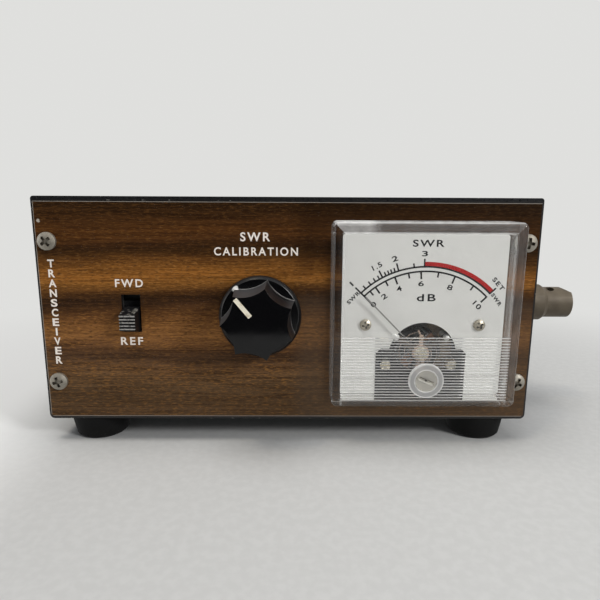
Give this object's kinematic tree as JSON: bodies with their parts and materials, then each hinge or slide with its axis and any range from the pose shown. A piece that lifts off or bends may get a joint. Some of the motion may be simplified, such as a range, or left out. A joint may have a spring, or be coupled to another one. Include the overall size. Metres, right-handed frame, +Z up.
{
  "type": "swr meter",
  "caption": "Bench SWR meter for a radio transmitter line: woodgrain front panel, square moving-coil meter, level knob, slide switch, coaxial sockets on both sides, rubber feet.",
  "frame": {"origin": "middle of the whole object seen from above, knob, sockets and fitted plug included, on the surface that the rubber feet stand on", "axes": "+X to the right seen from the front, towards the socket that holds the plug; -Y out of the front panel towards the user; +Z up"},
  "size_m": [0.187, 0.0829, 0.0774],
  "materials": {
    "black_paint": "semi-gloss black stove enamel",
    "woodgrain": "dark walnut print under clear film, satin",
    "nickel": "bright nickel plate",
    "zinc_steel": "dull zinc plate",
    "rubber": "matte black moulded rubber",
    "knob_black": "glossy black moulding",
    "cream": "cream filled line",
    "black_plastic": "black moulding",
    "clear": "clear polystyrene, polished",
    "dial_white": "light grey-white enamel, satin",
    "iron": "soft iron, thin brown varnish",
    "magnet": "cast magnet alloy, plain",
    "aluminium": "thin sheet, bright",
    "copper": "enamelled copper wire",
    "brass": "turned brass",
    "ptfe": "off-white insulating plastic",
    "board": "paper laminate board",
    "glass_body": "small glass body",
    "resistor": "tan lacquer",
    "ceramic": "orange-brown dipped ceramic",
    "phenolic": "brown laminated board"
  },
  "bodies": {
    "case": {"case_shell": "black_paint", "case_lid": "black_paint", "case_screws": "nickel", "long_screws": "nickel", "nuts": "zinc_steel", "front_panel": "black_paint", "panel_overlay": "woodgrain", "foot_front_left": "rubber", "foot_front_right": "rubber", "foot_rear_left": "rubber", "foot_rear_right": "rubber", "pot_body": "zinc_steel", "pot_washer": "zinc_steel", "pot_nut": "nickel", "pot_terminals": "zinc_steel", "switch_frame": "zinc_steel", "switch_rivets": "aluminium", "switch_body": "phenolic", "switch_terminals": "zinc_steel", "meter_cover": "clear", "meter_body": "black_plastic", "meter_studs": "brass", "meter_terminals": "brass", "dial_plate": "dial_white", "dial_screws": "nickel", "yoke_ring": "iron", "core_magnet": "magnet", "core_spacers": "brass", "bridge_pillars": "nickel", "front_bridge": "aluminium", "jewel_screw": "brass", "rear_bridge": "aluminium", "frame_screws": "brass", "socket_left": "nickel", "socket_right": "nickel", "socket_insulators": "ptfe", "socket_contacts": "brass", "line_trough": "brass", "through_line": "brass", "circuit_board": "board", "board_screws": "zinc_steel", "pickup_lines": "copper", "diodes": "glass_body", "resistors": "resistor", "capacitors": "ceramic"},
    "knob": {"knob": "knob_black", "knob_pointer": "cream", "knob_set_screw": "zinc_steel", "pot_shaft": "aluminium"},
    "switch_slider": {"switch_actuator": "black_plastic"},
    "movement": {"needle": "black_plastic", "coil_former": "aluminium", "coil_winding": "copper", "hairspring": "brass"},
    "zero_screw": {"zero_screw": "clear"},
    "zero_arm": {"zero_arm": "brass"},
    "plug": {"plug_body": "nickel", "plug_insulator": "phenolic", "plug_pin": "nickel"},
    "coupling_ring": {"coupling_ring": "nickel"}
  },
  "joints": [
    {"name": "knob_turn", "type": "hinge", "parent": "case", "child": "knob", "pos_m": [-0.01795, -0.02842, 0.04175], "axis": [0, 1, 0], "range_deg": [-110.2, 189.8]},
    {"name": "switch_slide", "type": "slide", "parent": "case", "child": "switch_slider", "axis": [0, 0, 1], "range_m": [0, 0.0039]},
    {"name": "needle_swing", "type": "hinge", "parent": "case", "child": "movement", "pos_m": [0.03115, -0.02842, 0.0306], "axis": [0, 1, 0], "range_deg": [0, 89], "stiffness_Nm_per_rad": 0.00002},
    {"name": "zero_screw_turn", "type": "hinge", "parent": "case", "child": "zero_screw", "pos_m": [0.03115, -0.02842, 0.0246], "axis": [0, 1, 0], "range_deg": [-25, 25]},
    {"name": "zero_arm_swing", "type": "hinge", "parent": "case", "child": "zero_arm", "pos_m": [0.03115, -0.02842, 0.0306], "axis": [0, 1, 0], "range_deg": [-6.5, 6.5]},
    {"name": "plug_pull", "type": "slide", "parent": "case", "child": "plug", "axis": [1, 0, 0], "range_m": [0, 0.02]},
    {"name": "coupling_ring_turn", "type": "hinge", "parent": "plug", "child": "coupling_ring", "pos_m": [0.0746, 0.00558, 0.0396], "axis": [1, 0, 0], "continuous": true}
  ],
  "couplings": [
    {"joint": "zero_arm_swing", "follows": "zero_screw_turn", "ratio": -0.2405}
  ]
}
